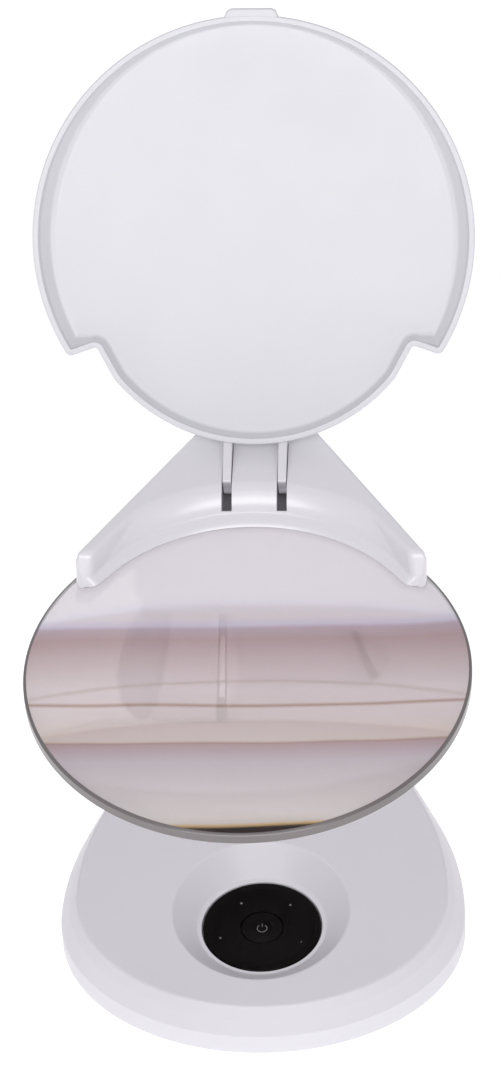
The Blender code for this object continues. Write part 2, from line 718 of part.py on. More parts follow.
def build_head_light(body, board_finish):
    frost = material("led_diffuser", (0.92, 0.92, 0.90), 0.5)
    gap = 0.35
    inner, outer = LED_INNER_RADIUS + gap, LED_OUTER_RADIUS - gap
    half_angle = LED_HALF_ANGLE_DEG - 0.5
    add("led_board", led_band(inner, outer, half_angle, -7.3, -6.2), body, board_finish)
    add("led_diffuser", led_band(inner, outer, half_angle, -9.9, -8.9), body, frost)
    chip = material("led_chip", (0.95, 0.85, 0.45), 0.4)
    middle = (LED_INNER_RADIUS + LED_OUTER_RADIUS) / 2
    for i in range(LED_COUNT):
        angle = 90 - LED_HALF_ANGLE_DEG + (2 * i + 1) * LED_HALF_ANGLE_DEG / LED_COUNT
        x, y = arc((0, LED_ARC_Y), middle, angle, angle, 1)[0]
        block = box((x - 1.8, y - 1.4, LENS_Z - 8.5), (x + 1.8, y + 1.4, LENS_Z - 7.6))
        add(f"led_{i + 1}", turn_mesh(block, angle - 90, "Z", (x, y, 0)), body, chip)


def build_head_hinge(body, steel):
    axis = (0, HINGE_Y, HEAD_HINGE_Z)
    add("head_hinge_pin", rod(axis, PIN_RADIUS, -14.2, 14.2, 20, "X"), body, steel)
    for side, label in ((-1, "left"), (1, "right")):
        ring = washer(axis, PIN_RADIUS + PIN_GAP, 6.5, side * 9.92, side * 10.6, 20, "X")
        add(f"head_friction_washer_{label}", ring, body, steel)
    lid_axis = (0, LID_HINGE_Y, LENS_Z + LID_HINGE_RISE)
    add("lid_hinge_pin", rod(lid_axis, LID_PIN_RADIUS, -13.0, 13.0, 16, "X"), body, steel)
    for i, (x, y) in enumerate(HEAD_SCREWS, 1):
        profile = [(0, -9.6), (2.5, -9.6), (2.5, -7.9), (1.3, -7.9), (1.3, 5.6), (0, 5.6)]
        add(f"head_screw_{i}", turned(profile, (x, y, LENS_Z), 12), body, steel)


# Cover


def ear_mesh(side):
    """One hinge ear, drawn with the cover closed; (y, z) is counted from the hinge axis."""
    view = [(-13.0, 1.4), (-4.0, -5.4), (-1.0, -7.3), (1.6, -6.4)]
    view += arc((0, 0), 4.3, -50, 90, 8)
    view += [(-8.0, 4.8), (-13.0, 5.0)]
    low = side * EAR_X - EAR_HALF_WIDTH
    high = side * EAR_X + EAR_HALF_WIDTH
    placed = [(y + LID_HINGE_Y, z + LENS_Z + LID_HINGE_RISE) for y, z in view]
    return side_prism(placed, low, high)


def build_lid(body, white):
    rim = LENS_Z + LID_RIM
    sections = (
        (3.8, 6.5),
        (1.3, 5.4),
        (0.25, 3.2),
        (0.0, 0.0),
        (1.6, 0.0),
        (1.7, 1.6),
        (2.7, 3.7),
        (5.6, 4.9),
    )
    rings = [at_height(lid_outline(distance), rim + rise) for distance, rise in sections]
    axis = (0, LID_HINGE_Y, LENS_Z + LID_HINGE_RISE)

    def opened(mesh):
        return turn_mesh(mesh, -LID_OPEN_DEG, "X", axis)

    lid = add("lens_cover", opened(loft(rings)), body, white)
    tab = [(-7.6, -63.9), (-6.1, -66.4), (0.0, -66.7), (6.1, -66.4), (7.6, -63.9)]
    join(lid, opened(prism(tab, rim + 0.4, rim + 3.4)), "finger_tab")
    join(lid, opened(ear_mesh(-1)), "left_ear")
    join(lid, opened(ear_mesh(1)), "right_ear")
    cut(lid, rod(axis, LID_PIN_RADIUS + PIN_GAP, -20, 20, 16, "X"), "pin_bore")


def main():
    clear_scene()
    assembly = empty("assembly", (0, 0, 0))
    base = empty("base_frame", (0, 0, 0), assembly)
    button = empty("button_axis", (0, 0, DISC_TOP_Z), base)
    arm = empty("arm_axis", (0, HINGE_Y, BASE_HINGE_Z), base)
    head = empty("head_axis", (0, HINGE_Y, HEAD_HINGE_Z), arm)
    lid = empty("lid_axis", (0, LID_HINGE_Y, LENS_Z + LID_HINGE_RISE), head)
    assembly.location.y = -BOX_CENTRE_Y * MM

    white = material("white_plastic", WHITE, 0.35)
    steel = material("zinc_steel", STEEL, 0.35, 1.0)
    board_finish = material("board_green", (0.03, 0.22, 0.10), 0.5)
    build_base_shell(base, white)
    build_bottom_cover(base, white)
    build_feet_and_screws(base)
    build_controls(base, button, board_finish)
    build_base_inside(base, board_finish)
    build_base_hinge(base, white)
    build_arm(arm, white, steel)
    build_lens(head)
    build_head_top(head, white)
    build_head_bottom(head, white)
    build_head_light(head, board_finish)
    build_head_hinge(head, steel)
    build_lid(lid, white)


main()
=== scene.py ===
"""Looks of the low vision magnifier: fine shells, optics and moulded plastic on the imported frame.

Plan coordinates are millimetres, y counted rearwards from the axis of the lens, z from the table.
"""
import json
import math

import bmesh
import bpy
from mathutils import Matrix, Vector


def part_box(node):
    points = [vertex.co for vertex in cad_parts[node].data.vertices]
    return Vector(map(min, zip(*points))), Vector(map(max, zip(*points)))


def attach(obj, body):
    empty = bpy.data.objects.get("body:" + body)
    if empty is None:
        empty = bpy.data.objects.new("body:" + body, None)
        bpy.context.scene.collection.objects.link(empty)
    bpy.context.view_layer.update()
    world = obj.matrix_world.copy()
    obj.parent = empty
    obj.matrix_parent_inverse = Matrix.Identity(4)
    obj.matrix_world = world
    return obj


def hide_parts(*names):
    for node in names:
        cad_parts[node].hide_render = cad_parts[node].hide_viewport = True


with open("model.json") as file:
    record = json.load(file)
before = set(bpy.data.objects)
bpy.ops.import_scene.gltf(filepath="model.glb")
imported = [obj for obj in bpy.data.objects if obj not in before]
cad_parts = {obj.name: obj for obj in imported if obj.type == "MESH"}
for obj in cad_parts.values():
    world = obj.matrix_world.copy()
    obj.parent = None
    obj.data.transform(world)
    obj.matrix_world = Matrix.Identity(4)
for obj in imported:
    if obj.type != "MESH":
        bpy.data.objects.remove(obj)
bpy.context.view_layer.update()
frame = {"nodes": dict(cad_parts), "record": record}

MM = 0.001
TINY = 1e-6
WELD_DISTANCE = 1e-5


def span(node):
    """The lowest and highest x, y and z of a CAD node, in millimetres of the shared frame."""
    low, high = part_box(node)
    return [(low[i] / MM, high[i] / MM) for i in range(3)]


# Sizes, in plan millimetres; AXIS_Y is where the axis of the lens stands in the shared frame

lens_x, lens_y, lens_z = span("lens")
AXIS_Y = sum(lens_y) / 2
LENS_RADIUS = (lens_x[1] - lens_x[0]) / 2
LENS_Z = sum(lens_z) / 2
LENS_EDGE = 3.5
LENS_FLANGE = 0.9
LENS_SAG = (lens_z[1] - lens_z[0] - LENS_EDGE) / 2

base_x, base_y, base_z = span("base_top_shell")
BASE_HALF_WIDTH = base_x[1]
BASE_WIDEST_Y = 5.8
BASE_FRONT_DEPTH = BASE_WIDEST_Y - (base_y[0] - AXIS_Y)
BASE_SIDE_RADIUS = 90.0
BASE_TAPER_DEG = 25.6
BASE_TAIL_Y = 82.0
BASE_FOOT_Z = base_z[0]
BASE_WALL_Z = 8.8
BASE_CHAMFER = 5.2
BASE_WALL = 2.2
BASE_CEILING = 2.0
PLATEAU_Z = 18.1
PLATEAU_SLOPE = 0.045
DISH_RADIUS = 26.6

disc_x, _, disc_z = span("control_disc")
DISC_RADIUS = disc_x[1]
DISC_LOW, DISC_HIGH = disc_z
button_x, _, button_z = span("power_button")
BUTTON_RADIUS = button_x[1]
BUTTON_FOOT = button_z[0]
CONTROL_MARKS = ((-12.3, -4.6), (12.1, -6.3), (8.2, 8.7), (-6.5, 9.4))

ARM_Y = 92.0
ARM_LOW_Z = 20.0
ARM_HIGH_Z = 116.0
PIN_RADIUS = 2.5
BORE_CLEARANCE = 0.3
KNUCKLE_HALF_WIDTH = 10.9
HINGE_CAP_RADIUS = 10.0
HINGE_CAP_END = 18.5

HEAD_HALF_WIDTH = span("head_top_shell")[0][1]
HEAD_SIDE_Y = 38.3
HEAD_TAPER_DEG = 32.7
HEAD_TAIL_Y = 87.0
HEAD_CREASE = 6.0
HEAD_SWELL = 0.9
HEAD_SCREWS = ((-24, 70), (24, 70), (-15.2, 80), (15.2, 80))
SCREW_HOLE_RADIUS = 1.6
SCREW_SINK_RADIUS = 2.8
# height above the lens plane: radius and centre of the concave front, angle where it
# straightens, inner corner and front of the tips
HEAD_SLICES = {
    12.0: (57.6, 9.5, 55.0, 46.0, 38.3),
    6.0: (53.9, 7.2, 37.0, 46.8, 33.7),
    3.0: (51.2, 5.6, 36.0, 43.6, 31.7),
}

LID_RADIUS = span("lens_cover")[0][1]
LID_LIP = 1.7
LID_REAR = (7.2, 53.8)
LID_NOTCH = ((54.83, 34.9), (46.6, 32.0), 41.5)
LID_RIM_Z = LENS_Z + 6.6
LID_OPEN_DEG = 128.0
LID_AXIS = (0.0, 72.5, LENS_Z + 7.0)
LID_PIN_BORE = 1.8
EAR_X = 8.1
EAR_HALF_WIDTH = 1.28
EAR_SLOT_HALF_WIDTH = 1.5

# Shading: faces that meet flatter than SMOOTH_DEG are shaded as one, lens faces LENS_SMOOTH_DEG
SMOOTH_DEG = 30
LENS_SMOOTH_DEG = 25
NOISE_LOW, NOISE_HIGH = 0.3, 0.7

# The painted bands on the lens, a painted view of its surroundings with painted shade: how plan x, y and z
# add up across them, their middle, and their drift
BAND_WAY = (-0.03, 1.0, 1.03)
BAND_MIDDLE = 4.0
BAND_DRIFT = (0.008, 0.008, 0.0)
BAND_DRIFT_SCALE = 9

# The camera: millimetres of focal length, turns about the lens, and its offset from it in metres
CAMERA_LENS = 209.9
CAMERA_SENSOR = 36.0
CAMERA_TURNS = ((4.3, "Z"), (45.8, "X"), (-3.2, "Z"))
CAMERA_OFFSET = (0.0007, 0.0395, 1.8015)


# Geometry helpers


def arc(centre, radius, start_deg, end_deg, steps):
    """Points on an arc, angles counted from +X towards +Y."""
    angles = [math.radians(start_deg + (end_deg - start_deg) * i / steps) for i in range(steps + 1)]
    return [(centre[0] + radius * math.cos(a), centre[1] + radius * math.sin(a)) for a in angles]


def line(start, end, steps):
    """Points after start, up to and including end."""
    return [
        tuple(a + (b - a) * i / steps for a, b in zip(start, end)) for i in range(1, steps + 1)
    ]


def rounded(corners, steps=5):
    """A polyline (u, v, radius) with each inner corner turned into an arc of about that radius.

    An arc takes up no more than a set share of the sides that it joins.
    """
    share = 0.46
    nearly_straight = math.radians(89.5)
    path = [tuple(corners[0][:2])]
    for before, here, after in zip(corners, corners[1:], corners[2:]):
        p, q, r = (Vector(c[:2]) for c in (before, here, after))
        to_p, to_r = (p - q).normalized(), (r - q).normalized()
        half = to_p.angle(to_r) / 2
        if here[2] <= 0 or half > nearly_straight:
            path += [tuple(q)] * (steps + 1)
            continue
        reach = min(here[2] / math.tan(half), share * (p - q).length, share * (r - q).length)
        radius = reach * math.tan(half)
        centre = q + (to_p + to_r).normalized() * (radius / math.sin(half))
        start, end = q + to_p * reach - centre, q + to_r * reach - centre
        side = (end - start * (start.dot(end) / start.length_squared)).normalized() * radius
        for i in range(steps + 1):
            a = start.angle(end) * i / steps
            path.append(tuple(centre + start * math.cos(a) + side * math.sin(a)))
    path.append(tuple(corners[-1][:2]))
    return path


def mirrored(points):
    """The right half of an outline, front to rear, with its mirror image closing the loop."""
    return list(points) + [(-x, y) for x, y in reversed(points) if x > TINY]


def inset(points, distance):
    """The outline moved inwards by a distance, with mitred corners."""
    moved = []
    for i, here in enumerate(points):
        before = Vector(here) - Vector(points[i - 1])
        after = Vector(points[(i + 1) % len(points)]) - Vector(here)
        mitre = Vector((-before.y, before.x)).normalized() + Vector((-after.y, after.x)).normalized()
        moved.append(tuple(Vector(here) + mitre * (2 * distance / mitre.length_squared)))
    return moved


def loft(rings, closed=False):
    """Skin over rings of equal counts; the ends are capped unless the last joins the first."""
    mesh = bmesh.new()
    loops = [[mesh.verts.new(p) for p in ring] for ring in rings]
    pairs = list(zip(loops, loops[1:]))
    if closed:
        pairs.append((loops[-1], loops[0]))
    else:
        mesh.faces.new(loops[0])
        mesh.faces.new(loops[-1])
    for low, high in pairs:
        for i in range(len(low)):
            j = (i + 1) % len(low)
            mesh.faces.new((low[i], low[j], high[j], high[i]))
    return mesh


def turned(profile, centre, steps, axis="Z"):
    """A (radius, height) profile turned about an axis; radius 0 closes on a point."""
    mesh = bmesh.new()
    spin = Matrix.Rotation(math.radians(90), 3, "Y") if axis == "X" else Matrix.Identity(3)
    rings = []
    for radius, height in profile:
        angles = [2 * math.pi * i / steps for i in range(steps if radius > TINY else 1)]
        ring = [Vector((radius * math.cos(a), radius * math.sin(a), height)) for a in angles]
        rings.append([mesh.verts.new(Vector(centre) + spin @ p) for p in ring])
    for low, high in zip(rings, rings[1:]):
        for i in range(steps):
            j = (i + 1) % steps
            corners = [low[i % len(low)], low[j % len(low)], high[j % len(high)], high[i % len(high)]]
            mesh.faces.new(list(dict.fromkeys(corners)))
    return mesh


def rod(centre, radius, low, high, steps=32, axis="Z"):
    return turned([(0, low), (radius, low), (radius, high), (0, high)], centre, steps, axis)


def prism(points, low, high):
    return loft([[(x, y, z) for x, y in points] for z in (low, high)])


def side_prism(points, low, high):
    """A (y, z) side view extruded along X."""
    return loft([[(x, y, z) for y, z in points] for x in (low, high)])


def block(low, high):
    corners = [(low[0], low[1]), (high[0], low[1]), (high[0], high[1]), (low[0], high[1])]
    return prism(corners, low[2], high[2])


def turn(mesh, angle_deg, axis, centre):
    to_centre = Matrix.Translation(Vector(centre))
    spin = Matrix.Rotation(math.radians(angle_deg), 4, axis)
    bmesh.ops.transform(mesh, matrix=to_centre @ spin @ to_centre.inverted(), verts=mesh.verts)
    return mesh


def build(name, mesh, material=None, smooth_deg=SMOOTH_DEG, weighted=True):
    """Turns plan millimetres into an object in the shared frame."""
    bmesh.ops.remove_doubles(mesh, verts=mesh.verts, dist=WELD_DISTANCE)
    bmesh.ops.recalc_face_normals(mesh, faces=mesh.faces)
    to_frame = Matrix.Scale(MM, 4) @ Matrix.Translation(Vector((0.0, AXIS_Y, 0.0)))
    bmesh.ops.transform(mesh, matrix=to_frame, verts=mesh.verts)
    data = bpy.data.meshes.new(name)
    mesh.to_mesh(data)
    mesh.free()
    obj = bpy.data.objects.new(name, data)
    bpy.context.scene.collection.objects.link(obj)
    if material:
        data.materials.append(material)
    shade(obj, smooth_deg)
    if weighted:
        obj.modifiers.new("weighted", "WEIGHTED_NORMAL").keep_sharp = True
    return obj


def shade(obj, smooth_deg):
    obj.data.shade_smooth()
    obj.data.set_sharp_from_angle(angle=math.radians(smooth_deg))


def carve(obj, cutters):
    """Cuts closed meshes out of an object and keeps the result."""
    for mesh in cutters:
        cutter = build("cutter", mesh)
        step = obj.modifiers.new("cut", "BOOLEAN")
        step.operation = "DIFFERENCE"
        step.solver = "EXACT"
        step.object = cutter
        obj.modifiers.move(len(obj.modifiers) - 1, 0)
        with bpy.context.temp_override(object=obj, active_object=obj):
            bpy.ops.object.modifier_apply(modifier="cut")
        bpy.data.objects.remove(cutter)
    shade(obj, SMOOTH_DEG)


def soften(obj, width):
    """Rounds the sharp edges of a moulded piece by a width in millimetres."""
    edge = obj.modifiers.new("edge", "BEVEL")
    edge.width = width * MM
    edge.segments = 3
    edge.limit_method = "ANGLE"
    edge.angle_limit = math.radians(35)
    obj.modifiers.move(len(obj.modifiers) - 1, 0)


def place(obj, body, slot, *replaced):
    """Lets a piece ride on a body, and hides the CAD nodes that it stands for; the slot argument is not
    used.
    """
    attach(obj, body)
    if replaced:
        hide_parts(*replaced)


# Materials


def procedural(name, colour, roughness, spread=0.02, scale=900, bump=0.015, **constants):
    """Principled finish with drifting colour and roughness and a fine surface bump."""
    finish = bpy.data.materials.new(name)
    finish.use_nodes = True
    tree = finish.node_tree
    shader = tree.nodes["Principled BSDF"]
    where = tree.nodes.new("ShaderNodeTexCoord").outputs["Object"]

    def noise(size, detail):
        node = tree.nodes.new("ShaderNodeTexNoise")
        node.inputs["Scale"].default_value = size
        node.inputs["Detail"].default_value = detail
        tree.links.new(where, node.inputs["Vector"])
        return node.outputs["Fac"]

    def spread_out(source, low, high):
        node = tree.nodes.new("ShaderNodeMapRange")
        node.inputs["From Min"].default_value = NOISE_LOW
        node.inputs["From Max"].default_value = NOISE_HIGH
        node.inputs["To Min"].default_value = low
        node.inputs["To Max"].default_value = high
        tree.links.new(source, node.inputs["Value"])
        return node.outputs["Result"]

    ramp = tree.nodes.new("ShaderNodeValToRGB")
    ramp.color_ramp.elements[0].position = NOISE_LOW
    ramp.color_ramp.elements[1].position = NOISE_HIGH
    ramp.color_ramp.elements[0].color = [c * (1 - spread) for c in colour] + [1]
    ramp.color_ramp.elements[1].color = [min(1, c * (1 + spread)) for c in colour] + [1]
    tree.links.new(noise(scale / 40, 4), ramp.inputs["Fac"])
    tree.links.new(ramp.outputs["Color"], shader.inputs["Base Color"])
    rough = spread_out(noise(scale / 12, 3), roughness * 0.88, roughness * 1.12)
    tree.links.new(rough, shader.inputs["Roughness"])
    relief = tree.nodes.new("ShaderNodeBump")
    relief.inputs["Strength"].default_value = 0.5
    relief.inputs["Distance"].default_value = bump * MM
    tree.links.new(noise(scale, 2), relief.inputs["Height"])
    tree.links.new(relief.outputs["Normal"], shader.inputs["Normal"])
    for socket, value in constants.items():
        shader.inputs[socket.replace("_", " ")].default_value = value
    return finish


def paint_lens_view(finish, bands):
    """Paints a view of the surroundings on the lens: bands of painted reflection and painted shade that
    cross it from side to side, drifting a little.
    """
    tree = finish.node_tree
    where = tree.nodes["Texture Coordinate"].outputs["Object"]
    drift = tree.nodes.new("ShaderNodeTexNoise")
    drift.inputs["Scale"].default_value = BAND_DRIFT_SCALE
    tree.links.new(where, drift.inputs["Vector"])
    shift = tree.nodes.new("ShaderNodeVectorMath")
    shift.operation = "MULTIPLY_ADD"
    shift.inputs[1].default_value = BAND_DRIFT
    tree.links.new(drift.outputs["Color"], shift.inputs[0])
    tree.links.new(where, shift.inputs[2])
    level = tree.nodes.new("ShaderNodeVectorMath")
    level.operation = "DOT_PRODUCT"
    level.inputs[1].default_value = BAND_WAY
    tree.links.new(shift.outputs["Vector"], level.inputs[0])
    middle = (AXIS_Y + BAND_WAY[2] * LENS_Z + BAND_MIDDLE) * MM
    along = tree.nodes.new("ShaderNodeMapRange")
    along.inputs["From Min"].default_value = middle - LENS_RADIUS * MM
    along.inputs["From Max"].default_value = middle + LENS_RADIUS * MM
    tree.links.new(level.outputs["Value"], along.inputs["Value"])
    ramp = tree.nodes.new("ShaderNodeValToRGB")
    ramp.color_ramp.elements.remove(ramp.color_ramp.elements[0])
    for i, (spot, colour) in enumerate(bands):
        spot = (spot / LENS_RADIUS + 1) / 2
        stop = ramp.color_ramp.elements[0] if i == 0 else ramp.color_ramp.elements.new(spot)
        stop.position = spot
        stop.color = colour + (1,)
    tree.links.new(along.outputs["Result"], ramp.inputs["Fac"])
    tree.links.new(ramp.outputs["Color"], tree.nodes["Principled BSDF"].inputs["Base Color"])


def see_through(finish, tint):
    """Lets light from the lamps through a clear finish, tinted."""
    tree = finish.node_tree
    out = tree.nodes["Material Output"]
    clear = tree.nodes.new("ShaderNodeBsdfTransparent")
    clear.inputs["Color"].default_value = tint
    mix = tree.nodes.new("ShaderNodeMixShader")
    path = tree.nodes.new("ShaderNodeLightPath")
    tree.links.new(path.outputs["Is Shadow Ray"], mix.inputs["Fac"])
    tree.links.new(tree.nodes["Principled BSDF"].outputs["BSDF"], mix.inputs[1])
    tree.links.new(clear.outputs["BSDF"], mix.inputs[2])
    tree.links.new(mix.outputs["Shader"], out.inputs["Surface"])


# The painted view on the lens: bands of painted reflection and painted shade for what the lens shows of its
# surroundings, a few tints, and where each lies, in millimetres behind the middle of the lens
DARK = (0.02, 0.01, 0.01)
AMBER = (0.90, 0.60, 0.25)
CREAM = (0.92, 0.88, 0.86)
MAUVE = (0.68, 0.62, 0.66)
UMBER = (0.45, 0.30, 0.22)
SAND = (0.82, 0.72, 0.66)
BLUSH = (0.82, 0.74, 0.75)
ROSE = (0.54, 0.40, 0.41)
PLUM = (0.60, 0.50, 0.56)
SKY = (0.80, 0.77, 0.95)
PALE = (0.95, 0.92, 0.95)
PAINTED_LENS_VIEW = [
    (-58.0, DARK), (-57.0, AMBER), (-56.0, CREAM), (-33.0, MAUVE), (-26.0, ROSE), (-25.5, UMBER),
    (-25.0, SAND), (-15.0, BLUSH), (-12.0, BLUSH), (-11.0, UMBER), (-10.0, BLUSH), (-5.0, BLUSH),
    (15.0, ROSE), (19.5, PLUM), (21.0, SKY), (24.0, PALE),
]

WHITE = procedural("white_abs", (0.74, 0.725, 0.765), 0.38, 0.012, Coat_Weight=0.12, Coat_Roughness=0.15)
# A brighter copy of the white plastic: painted light on the head and the hinge ears
LIT_WHITE = procedural("white_abs_painted_light", (0.82, 0.805, 0.84), 0.32, 0.012, Coat_Weight=1.0, Coat_Roughness=0.24)
COVER_WHITE = procedural("cover_abs", (0.735, 0.73, 0.765), 0.42, 0.01, Coat_Weight=0.3, Coat_Roughness=0.1)
# A darker copy of the white plastic: painted shade on the lower shell of the head
SHADED_WHITE = procedural("white_abs_painted_shade", (0.62, 0.60, 0.635), 0.45, 0.012)
BLACK = procedural("gloss_black", (0.005, 0.004, 0.004), 0.06, 0.2, 700, 0.002, Specular_IOR_Level=0.06)
PRINT = procedural("print_grey", (0.2, 0.2, 0.2), 0.45, 0.05)
STEEL = procedural("zinc_steel", (0.56, 0.57, 0.59), 0.32, 0.08, 1400, 0.01, Metallic=1.0)
IRON = procedural("cast_ballast", (0.16, 0.16, 0.17), 0.6, 0.25, 1200, 0.15, Metallic=0.8)
RUBBER = procedural("rubber_pad", (0.03, 0.03, 0.03), 0.75, 0.15, 1600, 0.04)
BOARD = procedural("board_green", (0.02, 0.16, 0.07), 0.4, 0.15, 800, 0.01)
WRAP = procedural("battery_film", (0.06, 0.13, 0.32), 0.3, 0.06, 500, 0.02)
VINYL = procedural("lead_black", (0.03, 0.03, 0.035), 0.45, 0.1, 1500, 0.02)
FROST = procedural("frosted_strip", (0.9, 0.9, 0.88), 0.5, 0.01, 1800, 0.03, Transmission_Weight=0.5)
CHIP = procedural("lamp_chip", (0.9, 0.75, 0.3), 0.4, 0.06, 2500, 0.02)
SWITCH = procedural("switch_grey", (0.2, 0.2, 0.21), 0.5, 0.06)
# The lens is only part clear, so that its painted bands of reflection and shade show on its faces
LENS = procedural(
    "lens_acrylic", (0.985, 0.98, 0.985), 0.004, 0.004, 300, 0.0, Transmission_Weight=0.47, IOR=1.49
)
# Dark tone for the ground flange and edge of the lens: painted shade for the dark that the clear edge shows
LENS_EDGE_SHADE = procedural("lens_edge_painted_shade", (0.17, 0.15, 0.15), 0.35, 0.06, 1500, 0.02, Coat_Weight=0.5)
paint_lens_view(LENS, PAINTED_LENS_VIEW)
see_through(LENS, (0.93, 0.92, 0.93, 1))

FINISHES = {
    "white_plastic": WHITE, "black_gloss": BLACK, "steel": STEEL, "ballast_iron": IRON,
    "rubber": RUBBER, "circuit_board": BOARD, "battery_wrap": WRAP, "lead_vinyl": VINYL,
    "diffuser": FROST, "led_chip": CHIP, "switch_grey": SWITCH, "lens_clear": LENS,
}
for part in frame["record"]["subparts"]:
    node = frame["nodes"][part["node"]]
    node.data.materials.clear()
    node.data.materials.append(FINISHES[part["material_slot"]])


# Base


def base_outline():
    """Plan of the base: elliptical front, sides that narrow to a round tail."""
    taper = math.radians(BASE_TAPER_DEG)
    half = []
    steps = 40
    for i in range(steps + 1):
        a = math.radians(-90 + 90 * i / steps)
        half.append((BASE_HALF_WIDTH * math.cos(a), BASE_WIDEST_Y + BASE_FRONT_DEPTH * math.sin(a)))
    side_centre = (BASE_HALF_WIDTH - BASE_SIDE_RADIUS, BASE_WIDEST_Y)
    half += arc(side_centre, BASE_SIDE_RADIUS, 0, BASE_TAPER_DEG, 14)[1:]
    x, y = half[-1]
    radius = (x - math.tan(taper) * (BASE_TAIL_Y - y)) * math.cos(taper)
    tail = arc((0, BASE_TAIL_Y), radius, BASE_TAPER_DEG, 90, 26)
    half += line((x, y), tail[0], 12) + tail[1:]
    half[0], half[-1] = (0.0, half[0][1]), (0.0, half[-1][1])
    return mirrored(half)


def plateau_z(y):
    """Height of the sloping top of the base."""
    return PLATEAU_Z + PLATEAU_SLOPE * y


def build_base():
    """Hollow housing of the base, with its dish and the opening for the control disc."""
    outline = base_outline()
    top = plateau_z(0)
    rim = BASE_CHAMFER
    outside = rounded(
        [
            (BASE_WALL, BASE_FOOT_Z, 0), (0.0, BASE_FOOT_Z, 0.8), (0.0, BASE_WALL_Z, 1.1),
            (rim * 0.55, top - 3.6, 6.0), (rim, top, 1.3), (rim + 4.0, top, 0),
        ]
    )
    dish = rounded(
        [
            (DISH_RADIUS + 3.0, top, 0), (DISH_RADIUS, top, 1.4),
            (DISC_RADIUS + 1.7, DISC_HIGH + 0.2, 1.6), (DISC_RADIUS + 0.35, DISC_HIGH - 0.1, 0.3),
            (DISC_RADIUS + 0.3, DISC_LOW - 0.3, 0), (DISC_RADIUS - 2.7, DISC_LOW - 0.3, 0),
            (DISC_RADIUS - 2.7, DISC_LOW - 1.8, 0), (DISC_RADIUS + 2.1, DISC_LOW - 1.8, 0),
            (DISH_RADIUS + 1.2, top - BASE_CEILING, 0),
        ]
    )
    rings = []
    for depth, height in outside:
        lift = min(1.0, max(0.0, (height - BASE_WALL_Z) / (top - BASE_WALL_Z)))
        moved = inset(outline, depth)
        rings.append([(x, y, height + lift * PLATEAU_SLOPE * y) for x, y in moved])
    angles = [math.atan2(y, x) for x, y in outline]
    for radius, height in dish:
        plan = [(radius * math.cos(a), radius * math.sin(a)) for a in angles]
        lift = min(1.0, max(0.0, (height - DISC_HIGH) / (top - DISC_HIGH)))
        rings.append([(x, y, height + lift * PLATEAU_SLOPE * y) for x, y in plan])
    ceiling = inset(outline, rim + 2.0)
    rings.append([(x, y, plateau_z(y) - BASE_CEILING) for x, y in ceiling])
    wall = inset(outline, BASE_WALL)
    rings.append([(x, y, BASE_WALL_Z - 0.6) for x, y in wall])
    shell = build("base_housing", loft(rings, closed=True), WHITE)
    # room for the foot of the arm, behind the middle of the base
    slot = rounded([(0, 81.6, 0), (13.5, 81.6, 1.5), (13.5, 103, 5.0), (0, 103, 0)])
    carve(shell, [prism(mirrored(slot)[::-1], 12.0, 40.0)])
    place(shell, "base", "white_plastic", "base_top_shell")


# Controls


def build_controls():
    """Gloss black disc with four marks, and the button in its middle."""
    low, high = DISC_LOW, DISC_HIGH
    edge = BUTTON_RADIUS + 0.3
    ring = rounded(
        [
            (edge, low, 0), (DISC_RADIUS, low, 0), (DISC_RADIUS, high, 0.6),
            (DISC_RADIUS - 2.6, high, 3), (edge, high - 0.5, 0.2), (edge, low, 0),
        ]
    )
    place(build("disc", turned(ring, (0, 0, 0), 160), BLACK), "base", "black_gloss", "control_disc")
    foot = BUTTON_FOOT
    face = high - 0.62
    cap = rounded(
        [
            (0, foot, 0), (1.8, foot, 0), (1.8, foot + 0.7, 0), (BUTTON_RADIUS, foot + 0.7, 0),
            (BUTTON_RADIUS, face, 0.25), (BUTTON_RADIUS * 0.5, face - 0.3, 5), (0, face - 0.4, 0),
        ]
    )
    button = build("button_cap", turned(cap, (0, 0, 0), 96), BLACK)
    place(button, "button", "black_gloss", "power_button")
    bead_low, bead_high = high - 0.5, high + 0.03
    mark = rounded([(0, bead_low, 0), (0.34, bead_low, 0), (0.34, bead_high, 0.03), (0, bead_high, 0)])
    for i, (x, y) in enumerate(CONTROL_MARKS, 1):
        place(build(f"control_mark_{i}", turned(mark, (x, y, -0.12), 24), PRINT), "base", "black_gloss")


def ribbon(path, width, height):
    """A flat strip along a plan path, 0.3 mm thick below its height."""
    foot = height - 0.3
    rings = []
    for i, here in enumerate(path):
        way = (Vector(path[min(i + 1, len(path) - 1)]) - Vector(path[max(i - 1, 0)])).normalized()
        out = Vector((way.y, -way.x)) * width / 2
        a, b = Vector(here) + out, Vector(here) - out
        rings.append([(a.x, a.y, foot), (a.x, a.y, height), (b.x, b.y, height), (b.x, b.y, foot)])
    return loft(rings)


def build_power_mark():
    """Printed power sign on the button: an open ring with a bar."""
    height = DISC_HIGH - 0.93
    ring = arc((0, 0), 1.45, 128, 412, 48)
    bar = [(0, 0.6), (0, 1.2), (0, 1.85)]
    for name, path in (("sign_ring", ring), ("sign_bar", bar)):
        place(build(name, ribbon(path, 0.22, height), PRINT), "button", "black_gloss")


# Lens


def lens_surface(radius):
    """Height of the front face of the lens above its own edge plane."""
    sphere = (LENS_RADIUS**2 + LENS_SAG**2) / (2 * LENS_SAG)
    return LENS_EDGE / 2 + LENS_SAG - sphere + math.sqrt(sphere**2 - radius**2)


